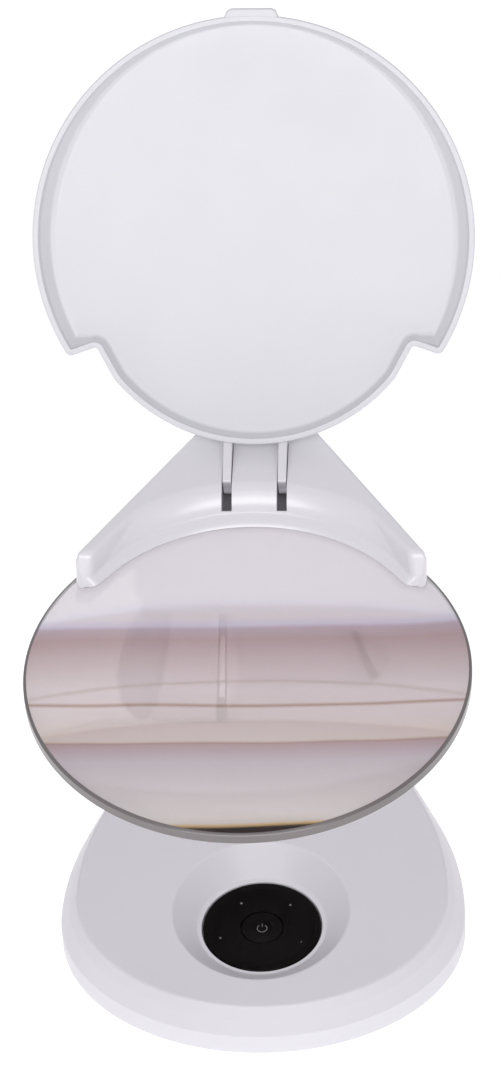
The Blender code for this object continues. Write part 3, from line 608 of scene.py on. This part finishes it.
def build_lens():
    """Biconvex lens with a narrow ground flange round its polished faces."""
    flange = LENS_RADIUS - LENS_FLANGE
    upper = [(r, lens_surface(r)) for r in [i * flange / 40 for i in range(41)]]
    rim = LENS_EDGE / 2
    ground = [(flange, rim + 0.2), (LENS_RADIUS - 0.4, rim), (LENS_RADIUS, rim - 0.4)]
    half = upper + ground
    profile = [(r, -h) for r, h in half] + half[::-1]
    body = turned(profile, (0, 0, LENS_Z), 192)
    glass = build("lens_glass", body, LENS, LENS_SMOOTH_DEG, weighted=False)
    # The ground flange and edge take the dark tone: painted shade, not the colour of the acrylic
    glass.data.materials.append(LENS_EDGE_SHADE)
    for face in glass.data.polygons:
        across = Vector((face.center.x, face.center.y - AXIS_Y * MM, 0.0)).length
        face.material_index = 1 if across > (flange - 0.01) * MM else 0
    place(glass, "head", "lens_clear", "lens")


# Head


def head_outline(rise, depth=0.0, swell=0.0):
    """Plan of the head at a height above the lens plane, moved inwards, with its front swollen."""
    heights = sorted(HEAD_SLICES)
    rise = min(max(rise, heights[0]), heights[-1])
    for low, high in zip(heights, heights[1:]):
        if low <= rise <= high:
            t = (rise - low) / (high - low)
            plan = [a + (b - a) * t for a, b in zip(HEAD_SLICES[low], HEAD_SLICES[high])]
    radius, centre_y, straight, tip_x, tip_y = plan
    radius, tip_x, tip_y = radius + depth - swell, tip_x + depth * 0.6, tip_y + depth
    taper = math.radians(HEAD_TAPER_DEG)
    width = HEAD_HALF_WIDTH - depth

    def side_x(y):
        return HEAD_HALF_WIDTH - (y - HEAD_SIDE_Y) * math.tan(taper) - depth / math.cos(taper)

    nose_x = min(width, side_x(tip_y + 0.3))
    side_y = HEAD_SIDE_Y - depth * 0.29
    side = (width, side_y) if side_y > tip_y + 1.6 else (side_x(tip_y + 2.6), tip_y + 2.6)
    tail_x = HEAD_HALF_WIDTH - math.tan(taper) * (HEAD_TAIL_Y - HEAD_SIDE_Y)
    tail_radius = tail_x * math.cos(taper) - depth
    front = arc((0, centre_y), radius, 90, straight + 6, 44)
    turn_at = math.radians(straight)
    bend = (radius * math.cos(turn_at), centre_y + radius * math.sin(turn_at))
    tail = arc((0, HEAD_TAIL_Y), tail_radius, HEAD_TAPER_DEG, 90, 24)
    tip = [
        front[-1] + (0,), bend + (30.0,), (tip_x, tip_y, 3.0), (nose_x, tip_y + 0.3, 3.0), side + (4.0,)
    ]
    corner = rounded(tip + [tail[0] + (0,)], 7)
    half = front + corner[1:-1] + line(corner[-2], tail[0], 8) + tail[1:]
    half[0], half[-1] = (0.0, half[0][1]), (0.0, half[-1][1])
    return mirrored(half)


def ear_slot(side):
    """The pocket that one hinge ear of the cover swings in."""
    view = [
        (55.0, 8.6), (58.5, 8.6), (62.0, 5.9), (67.0, 1.0), (70.0, -1.2), (75.0, -1.2),
        (79.2, 2.2), (82.0, 6.0), (84.3, 8.6), (84.3, 20.0), (55.0, 20.0),
    ]
    view = [(y, z + LENS_Z) for y, z in view]
    return side_prism(view, side * EAR_X - EAR_SLOT_HALF_WIDTH, side * EAR_X + EAR_SLOT_HALF_WIDTH)


def head_cutters():
    """Closed meshes that leave room in the head for the lens, gasket, ears, arm and pins."""
    clear = 0.35
    radii = [i * LENS_RADIUS / 24 for i in range(25)]
    half = [(r, lens_surface(r) + clear) for r in radii]
    half.append((LENS_RADIUS + clear, lens_surface(LENS_RADIUS) + clear))
    seat = turned([(r, -h) for r, h in half] + half[::-1], (0, 0, LENS_Z), 144)
    knuckle = block(
        (-KNUCKLE_HALF_WIDTH, ARM_Y - 11.0, LENS_Z - 30.0),
        (KNUCKLE_HALF_WIDTH, ARM_Y + 30.0, LENS_Z + 6.6),
    )
    gasket = rod((0, 0, LENS_Z), 66.6, -1.9, 1.9, 144)
    pin = rod((0, ARM_Y, ARM_HIGH_Z), PIN_RADIUS + BORE_CLEARANCE, -20, 20, 32, "X")
    lid_pin = rod(LID_AXIS, LID_PIN_BORE, -13.4, 13.4, 24, "X")
    return [seat, gasket, ear_slot(-1), ear_slot(1), knuckle, pin, lid_pin]


def build_head():
    """The two shells of the head that clamp the rear edge of the lens."""
    edge = rounded([(0.0, 9.0, 0), (0.0, 12.0, 1.9), (3.0, 12.0, 0)], 9)[1:-1]
    lip = rounded([(1.5, 0.15, 0), (0.9, 1.6, 0.5), (0.0, 3.0, 1.2), (0.0, 5.0, 0)], 6)[1:-1]
    face = [(0.0, 3.9 + 6.1 * i / 20) for i in range(21)]
    rings = []
    for depth, rise in lip + face + edge:
        pad = (3.0, HEAD_CREASE) if rise < HEAD_CREASE else (HEAD_CREASE, 12.0)
        swell = max(0.0, math.sin(math.pi * (rise - pad[0]) / (pad[1] - pad[0]))) if rise > 3.0 else 0.0
        rings.append([(x, y, LENS_Z + rise) for x, y in head_outline(rise, depth, HEAD_SWELL * swell)])
    # The upper shell takes the brighter copy of the white plastic: painted light
    top = build("head_housing", loft(rings), LIT_WHITE)
    screws = [rod((x, y, LENS_Z), SCREW_HOLE_RADIUS, -2.0, 6.0, 20) for x, y in HEAD_SCREWS]
    carve(top, head_cutters() + screws)
    place(top, "head", "white_plastic", "head_top_shell")
    section = [(2.2, -9.9), (1.6, -9.3), (1.2, -8.0), (1.0, -4.0), (1.0, -0.2)]
    rings = [[(x, y, LENS_Z + rise) for x, y in head_outline(3.0, depth)] for depth, rise in section]
    # The lower shell takes the darker copy of the white plastic: painted shade
    under = build("head_underside", loft(rings), SHADED_WHITE)
    start, end = 90 - 38, 90 + 38
    recess = arc((0, 5.5), 60.5, start, end, 48) + arc((0, 5.5), 53.5, end, start, 48)
    sinks = [rod((x, y, LENS_Z), SCREW_SINK_RADIUS, -14.0, -7.6, 24) for x, y in HEAD_SCREWS]
    holes = [rod((x, y, LENS_Z), SCREW_HOLE_RADIUS, -9.0, 2.0, 20) for x, y in HEAD_SCREWS]
    carve(under, head_cutters() + [prism(recess, LENS_Z - 15.0, LENS_Z - 5.9)] + sinks + holes)
    place(under, "head", "white_plastic", "head_bottom_shell")


# Cover


def crossing(point, way, centre, radius):
    """Where a plan line leaves a circle, on the side that its direction points to."""
    start, way = Vector(point) - Vector(centre), Vector(way).normalized()
    along = start.dot(way)
    return start + Vector(centre) + way * (math.sqrt(along**2 - start.length_squared + radius**2) - along)


def lid_outline(depth=0.0):
    """Plan of the closed cover: a disc notched at the rear round the tips of the head, moved inwards."""
    outer, inner, end_y = LID_NOTCH
    rear_y, rear_radius = LID_REAR
    end = (math.sqrt(rear_radius**2 - (end_y - rear_y) ** 2), end_y)
    ledge = (Vector(outer) - Vector(inner)).normalized()
    wall = (Vector(end) - Vector(inner)).normalized()
    on_ledge = Vector(inner) + Vector((ledge.y, -ledge.x)) * depth
    on_wall = Vector(inner) + Vector((-wall.y, wall.x)) * depth
    offset = on_wall - on_ledge
    cross = ledge.x * wall.y - ledge.y * wall.x
    corner_in = on_ledge + ledge * ((offset.x * wall.y - offset.y * wall.x) / cross)
    corner_out = crossing(on_ledge, ledge, (0, 0), LID_RADIUS - depth)
    corner_end = crossing(on_wall, wall, (0, rear_y), rear_radius - depth)
    notch = math.degrees(math.atan2(corner_out.y, corner_out.x))
    start = math.degrees(math.atan2(corner_end.y - rear_y, corner_end.x))
    front = arc((0, 0), LID_RADIUS - depth, -90, notch - 3.0, 96)
    rear = arc((0, rear_y), rear_radius - depth, start + 3.0, 90, 40)
    turns = [
        tuple(corner_out) + (max(0.3, 2.2 - depth),), tuple(corner_in) + (1.2 + depth,),
        tuple(corner_end) + (9.0,),
    ]
    half = front + rounded([front[-1] + (0,)] + turns + [rear[0] + (0,)], 7)[1:-1] + rear
    half[0], half[-1] = (0.0, half[0][1]), (0.0, half[-1][1])
    return mirrored(half)


def lid_inside(depth):
    """Plan of the inner wall of the cover: sloped at the sides, steep at the front and the rear."""
    steep = LID_LIP + (depth - LID_LIP) * 0.3
    plan = []
    for wide, narrow in zip(lid_outline(depth), lid_outline(steep)):
        reach = math.hypot(*wide)
        share = (wide[0] / reach) ** 2 if reach > LID_RADIUS - depth - 0.4 else 0.15
        plan.append(tuple(b + (a - b) * share for a, b in zip(wide, narrow)))
    return plan


def opened(mesh):
    """A mesh drawn with the cover closed, turned to where it stands open."""
    return turn(mesh, -LID_OPEN_DEG, "X", LID_AXIS)


def ear(side):
    """One hinge ear, drawn with the cover closed."""
    view = [(-13.0, 1.4), (-5.0, -5.0), (-1.4, -7.2), (-0.6, -6.6), (0.8, -3.4)]
    view += arc((0, 0), 3.1, -55, 90, 20) + [(-8.0, 4.8), (-13.0, 5.0)]
    view = [(y + LID_AXIS[1], z + LID_AXIS[2]) for y, z in view]
    return side_prism(view, side * EAR_X - EAR_HALF_WIDTH, side * EAR_X + EAR_HALF_WIDTH)


def build_cover():
    """The cover standing open, with its finger tab and two hinge ears."""
    outside = rounded(
        [
            (9.0, 6.5, 0), (3.4, 6.5, 3.0), (0.9, 4.6, 2.0), (0.0, 2.6, 2.0), (0.0, 0.0, 0.45),
            (LID_LIP, 0.0, 0),
        ]
    )
    inside = rounded(
        [
            (LID_LIP - 0.5, 0.0, 0), (LID_LIP, 0.0, 0.4), (2.2, 1.7, 1.5), (4.8, 4.6, 1.6),
            (6.4, 4.9, 2.0), (9.0, 4.9, 0),
        ]
    )[1:]
    rings = [[(x, y, LID_RIM_Z + rise) for x, y in lid_outline(depth)] for depth, rise in outside[:-1]]
    rings += [[(x, y, LID_RIM_Z + rise) for x, y in lid_inside(depth)] for depth, rise in inside]
    lid = build("cover_dish", opened(loft(rings)), COVER_WHITE)
    carve(lid, [rod(LID_AXIS, LID_PIN_BORE, -20, 20, 24, "X")])
    place(lid, "cover", "white_plastic", "lens_cover")
    root, tip = 1.0 - LID_RADIUS, -2.0 - LID_RADIUS
    half = [(8.2, root, 0), (7.2, tip + 0.7, 1.0), (6.0, tip, 0.9)]
    tab_plan = rounded(half + [(-x, y, radius) for x, y, radius in half[::-1]])
    tab = build("cover_tab", opened(prism(tab_plan, LID_RIM_Z + 0.05, LID_RIM_Z + 3.4)), COVER_WHITE)
    soften(tab, 0.5)
    place(tab, "cover", "white_plastic")
    for side, label in ((-1, "left"), (1, "right")):
        # The ears take the brighter copy of the white plastic: painted light
        arm = build(f"cover_ear_{label}", opened(ear(side)), LIT_WHITE)
        carve(arm, [rod(LID_AXIS, LID_PIN_BORE, -20, 20, 24, "X")])
        soften(arm, 0.3)
        place(arm, "cover", "white_plastic")


def soften_arm():
    """Rounds the moulded edges of the two CAD shells of the arm."""
    for name in ("arm_front_shell", "arm_rear_cover"):
        soften(frame["nodes"][name], 0.8)


def build_hinge_caps():
    """Round covers over the foot of the arm, hollow where the steel bracket stands."""
    radius = HINGE_CAP_RADIUS
    front, rear = (
        math.degrees(math.asin((plateau_z(ARM_Y + reach) - ARM_LOW_Z) / radius))
        for reach in (-radius, radius)
    )
    view = arc((ARM_Y, ARM_LOW_Z), radius, rear, 180 - front, 40)
    for side, label in ((-1, "left"), (1, "right")):
        mesh = side_prism(view, side * KNUCKLE_HALF_WIDTH, side * HINGE_CAP_END)
        cap = build(f"hinge_cover_{label}", mesh, WHITE)
        hinge = (0, ARM_Y, ARM_LOW_Z)
        pocket = rod(hinge, 8.3, side * 9.0, side * 13.5, 48, "X")
        bore = rod(hinge, PIN_RADIUS + BORE_CLEARANCE, side * 8.0, side * 16.0, 32, "X")
        carve(cap, [pocket, bore])
        soften(cap, 0.6)
        place(cap, "base", "white_plastic", f"hinge_cap_{label}")


# Stage


def lamp(name, where, target, size, watts):
    """A rectangular area light, in metres, aimed at a point."""
    data = bpy.data.lights.new(name, "AREA")
    data.shape = "RECTANGLE"
    data.size, data.size_y = size
    data.energy = watts
    obj = bpy.data.objects.new(name, data)
    obj.location = where
    aim = Vector(target) - Vector(where)
    obj.rotation_euler = aim.to_track_quat("-Z", "Y").to_euler()
    bpy.context.scene.collection.objects.link(obj)


def build_stage():
    """Bright pale floor, pale surroundings and three soft lights."""
    finish = procedural("floor_white", (0.93, 0.93, 0.94), 0.6, 0.004, 60)
    shader = finish.node_tree.nodes["Principled BSDF"]
    shader.inputs["Emission Color"].default_value = (1, 1, 1, 1)
    shader.inputs["Emission Strength"].default_value = 0.45
    floor = build("floor", block((-1500, -1500, -20), (1500, 1500, 0)), finish, weighted=False)
    world = bpy.data.worlds.new("studio")
    world.use_nodes = True
    background = world.node_tree.nodes["Background"]
    background.inputs["Color"].default_value = (0.97, 0.97, 1.0, 1)
    background.inputs["Strength"].default_value = 0.5
    bpy.context.scene.world = world

    target = (0, 0, 0.12)
    lamp("soft_key", (0.0, -1.55, 1.75), target, (1.8, 0.9), 20)
    for side, label in ((-1, "left"), (1, "right")):
        lamp(f"{label}_box", (side * 0.9, -1.4, 1.4), target, (0.25, 0.5), 1.5)


def build_camera():
    """Camera in front and above, a little to the right, rolled so that the object stands level."""
    data = bpy.data.cameras.new("view")
    data.sensor_width = CAMERA_SENSOR
    data.lens = CAMERA_LENS
    data.clip_end = 20.0
    camera = bpy.data.objects.new("view", data)
    spin = Matrix.Identity(4)
    for angle_deg, axis in CAMERA_TURNS:
        spin = spin @ Matrix.Rotation(math.radians(angle_deg), 4, axis)
    lens_centre = Matrix.Translation((0.0, AXIS_Y * MM, LENS_Z * MM))
    camera.matrix_world = lens_centre @ spin @ Matrix.Translation(CAMERA_OFFSET)
    bpy.context.scene.collection.objects.link(camera)
    bpy.context.scene.camera = camera


build_base()
build_controls()
build_power_mark()
build_lens()
build_head()
build_cover()
soften_arm()
build_hinge_caps()
build_stage()
build_camera()
bpy.context.scene.view_settings.view_transform = "Standard"
